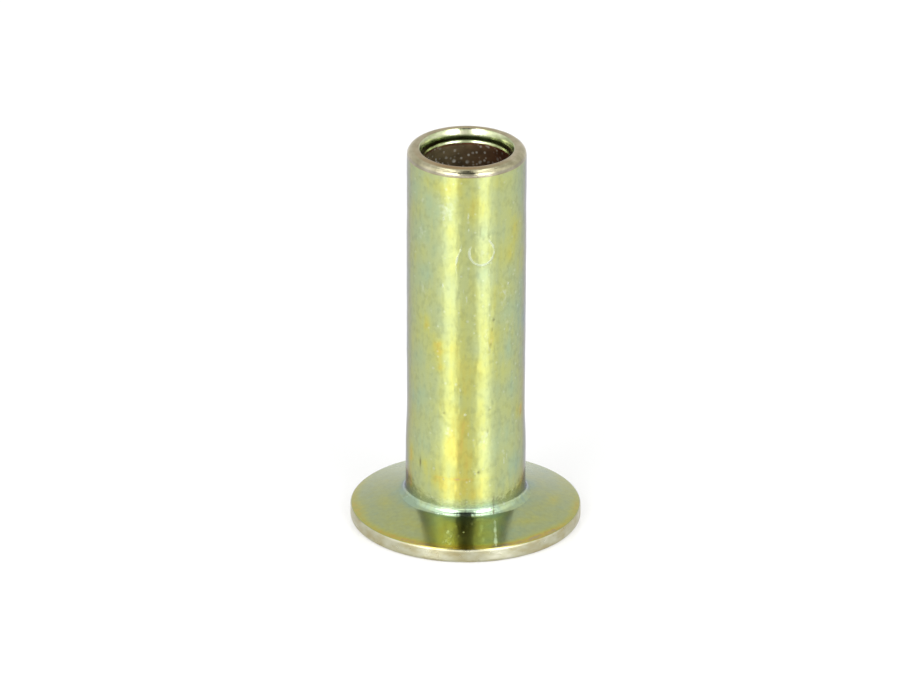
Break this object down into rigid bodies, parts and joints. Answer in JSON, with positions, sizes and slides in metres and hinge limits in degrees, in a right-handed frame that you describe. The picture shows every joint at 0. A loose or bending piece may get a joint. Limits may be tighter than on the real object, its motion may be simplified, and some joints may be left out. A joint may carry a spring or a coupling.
{
  "type": "brake lining rivet",
  "caption": "Steel rivet with a broad flat head and a hollow end, which is set to fasten a friction lining to its shoe",
  "frame": {"origin": "centre of the head's flat outer face, on which the rivet stands", "axes": "+Z is the rivet's axis and points out of the hollow end; the rivet is round, so X and Y are any two directions across it"},
  "size_m": [0.0154, 0.0154, 0.027],
  "materials": {
    "yellow_zinc": "satin"
  },
  "bodies": {
    "root": {"rivet": "yellow_zinc"}
  },
  "joints": []
}
